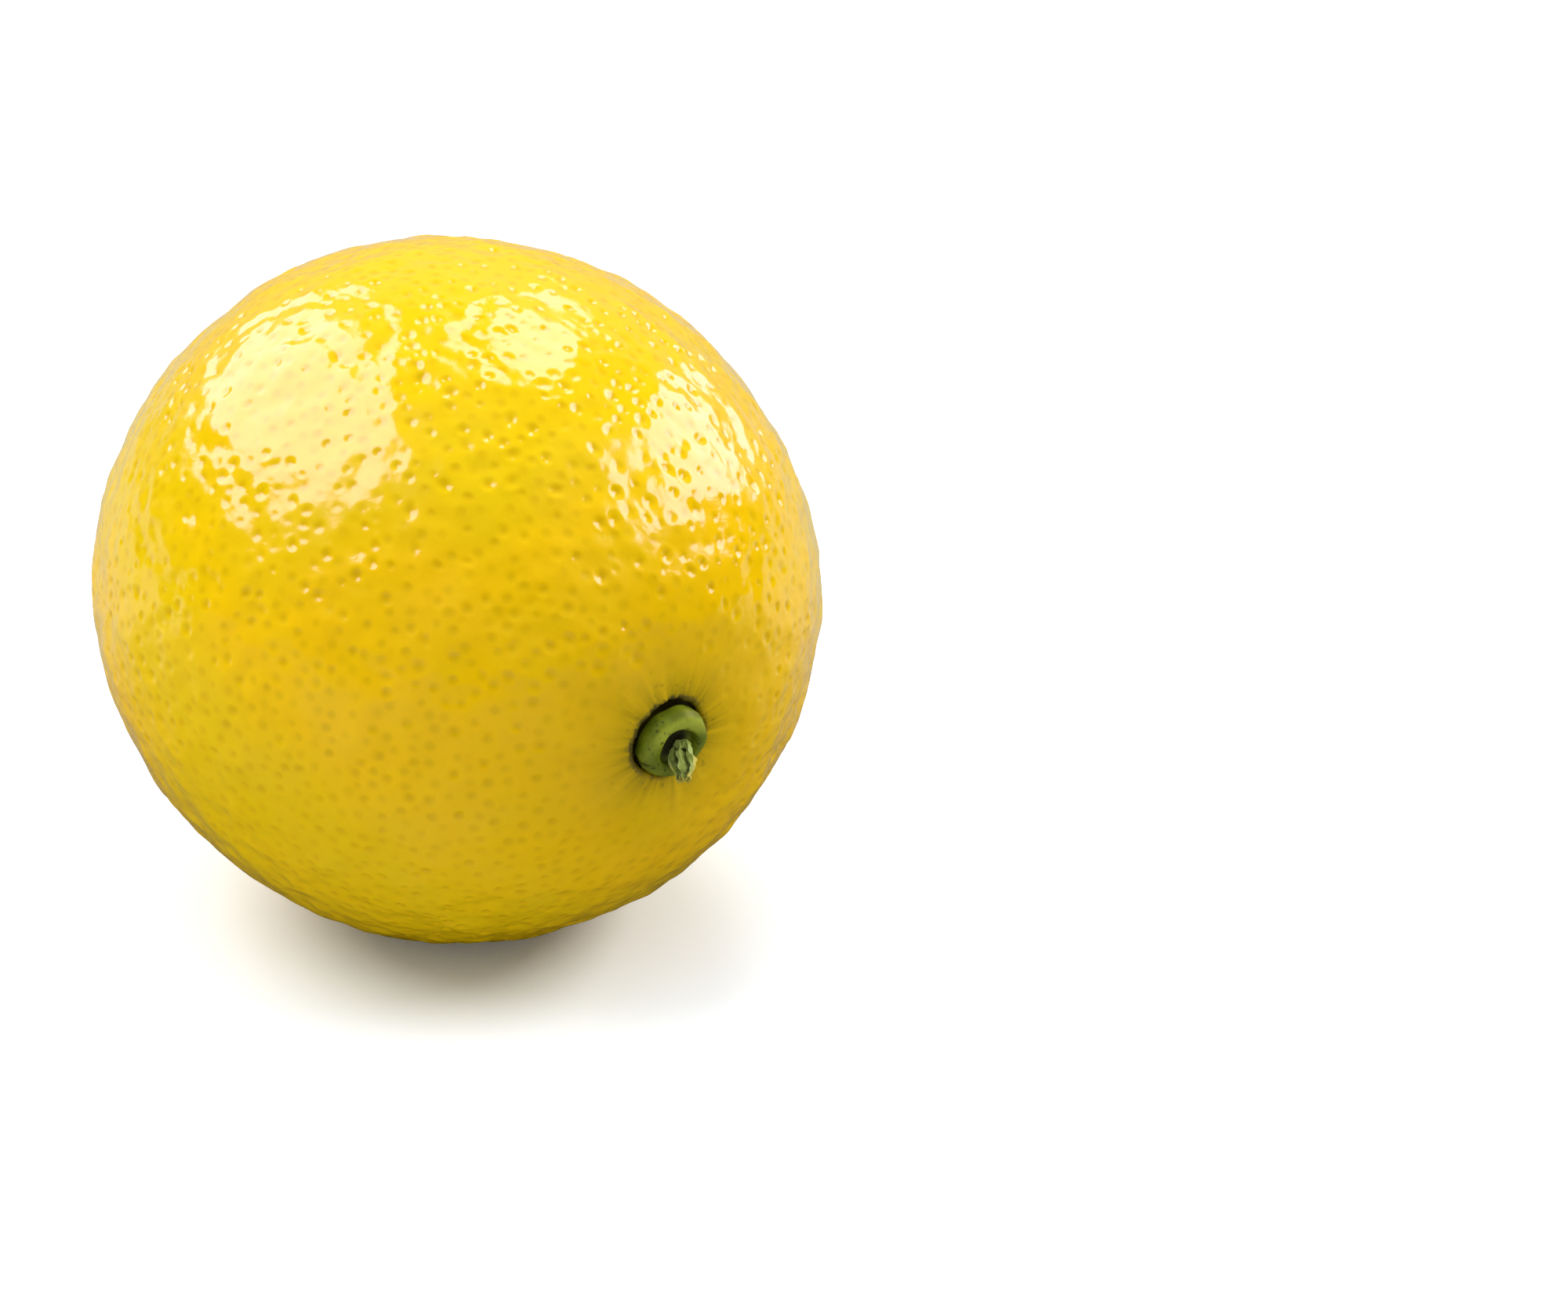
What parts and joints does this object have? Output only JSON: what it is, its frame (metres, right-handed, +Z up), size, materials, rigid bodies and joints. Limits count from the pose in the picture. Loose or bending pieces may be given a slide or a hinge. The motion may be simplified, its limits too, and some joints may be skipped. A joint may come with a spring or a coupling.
{
  "type": "lemon",
  "caption": "Whole ripe lemon lying on its side: rounded yellow peel with a nipple at the blossom end, and a green button with a dry stub at the stem end.",
  "frame": {"origin": "centre of the small flat spot that the fruit lies on, under its widest ring", "axes": "+Z up from the surface that it lies on, +X along the fruit towards its stem end, -X towards the nipple of its blossom end"},
  "size_m": [0.0813, 0.06, 0.0593],
  "materials": {
    "peel": "waxy glossy citrus peel, finely pitted",
    "calyx": "smooth fresh green plant tissue with a soft sheen",
    "stub": "dry, wrinkled grey-green stalk"
  },
  "bodies": {
    "root": {"fruit": "peel", "calyx": "calyx", "stem_stub": "stub"}
  },
  "joints": []
}
